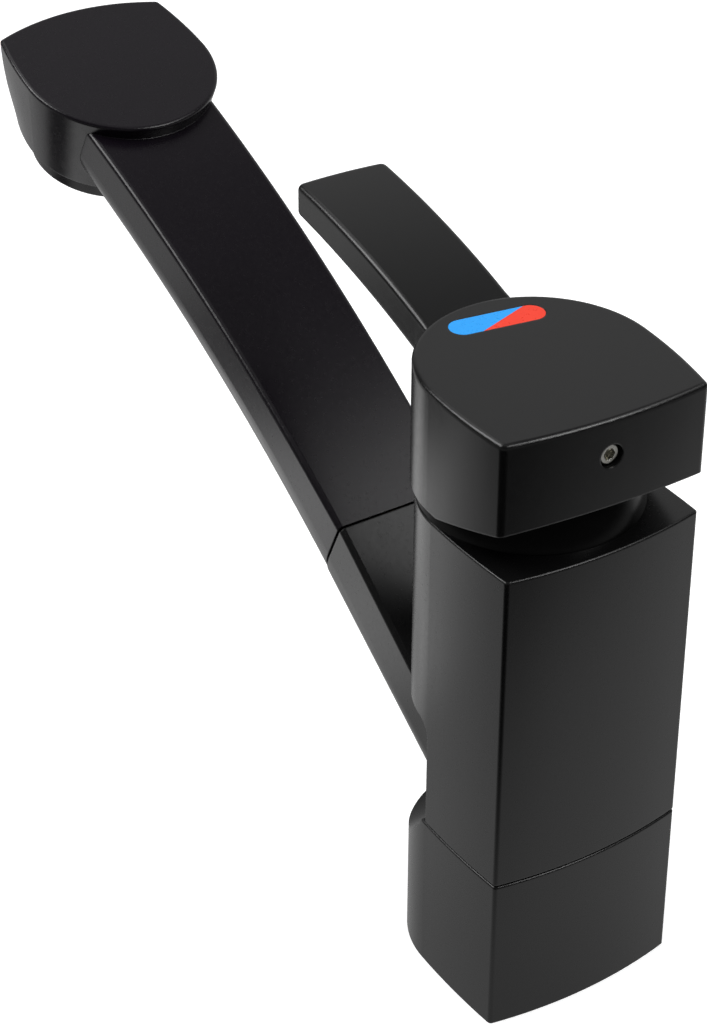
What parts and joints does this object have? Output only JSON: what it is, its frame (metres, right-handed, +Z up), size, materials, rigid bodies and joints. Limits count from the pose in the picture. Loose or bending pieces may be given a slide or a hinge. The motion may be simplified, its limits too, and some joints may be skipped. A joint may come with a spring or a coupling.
{
  "type": "single-lever mixer",
  "caption": "Matte black kitchen mixer that mixes hot and cold water, with one arched lever on top, a swivelling column and a pull-out spray.",
  "frame": {"origin": "where the swivel axis meets the underside of the base", "axes": "+Z up along the swivel axis, -Y forwards along the spout, +X towards the cold side"},
  "size_m": [0.0542, 0.23, 0.1613],
  "materials": {
    "black_metal": "satin",
    "black_plastic": "satin",
    "brass": "machined",
    "steel": "brushed",
    "guide_plastic": "moulded",
    "cartridge_plastic": "moulded",
    "disc_ceramic": "lapped ceramic",
    "seal_rubber": "matte",
    "nozzle_silicone": "matte",
    "aerator_plastic": "moulded",
    "mark_blue": "enamel",
    "mark_red": "enamel",
    "tube_plastic": "extruded"
  },
  "bodies": {
    "base": {"base": "black_metal", "base_seal": "seal_rubber"},
    "column": {"column": "black_metal", "swivel_spigot": "brass", "glide_ring": "guide_plastic", "thrust_washer": "guide_plastic", "retaining_ring": "steel", "swivel_seal": "seal_rubber", "stop_pin": "steel", "spout_bush": "guide_plastic", "cartridge_foot": "guide_plastic", "port_seals": "seal_rubber", "fixed_disc": "disc_ceramic", "cartridge_shell": "cartridge_plastic", "clamp_nut": "brass", "dome_cover": "black_metal"},
    "mixing_carrier": {"stem_carrier": "guide_plastic", "stem_pin": "steel"},
    "disc": {"moving_disc": "disc_ceramic", "disc_carrier": "cartridge_plastic"},
    "handle": {"stem": "steel", "handle": "black_metal", "handle_screw": "steel", "mark_cold": "mark_blue", "mark_hot": "mark_red"},
    "spray": {"spray_body": "black_plastic", "water_tube": "tube_plastic", "tail_connector": "brass", "check_valve": "guide_plastic", "hose_seal": "seal_rubber", "spray_face": "black_plastic", "nozzle_mat": "nozzle_silicone", "aerator": "aerator_plastic", "face_seal": "seal_rubber"}
  },
  "joints": [
    {"name": "swivel", "type": "hinge", "parent": "base", "child": "column", "pos_m": [0, 0, 0.025], "axis": [0, 0, 1], "range_deg": [-60, 60]},
    {"name": "temperature", "type": "hinge", "parent": "column", "child": "mixing_carrier", "pos_m": [0, 0, 0.113], "axis": [0, 0, 1], "range_deg": [-41.85, 48.15]},
    {"name": "lift", "type": "hinge", "parent": "mixing_carrier", "child": "handle", "pos_m": [0, 0, 0.113], "axis": [-0.9985, 0.055, 0], "range_deg": [0, 20]},
    {"name": "disc_slide", "type": "slide", "parent": "mixing_carrier", "child": "disc", "axis": [-0.055, -0.9985, 0], "range_m": [0, 0.0036]},
    {"name": "pull_out", "type": "slide", "parent": "column", "child": "spray", "axis": [0, -0.8241, 0.5664], "range_m": [0, 0.4]}
  ],
  "couplings": [
    {"joint": "disc_slide", "follows": "lift", "m_per_rad": 0.00975}
  ]
}
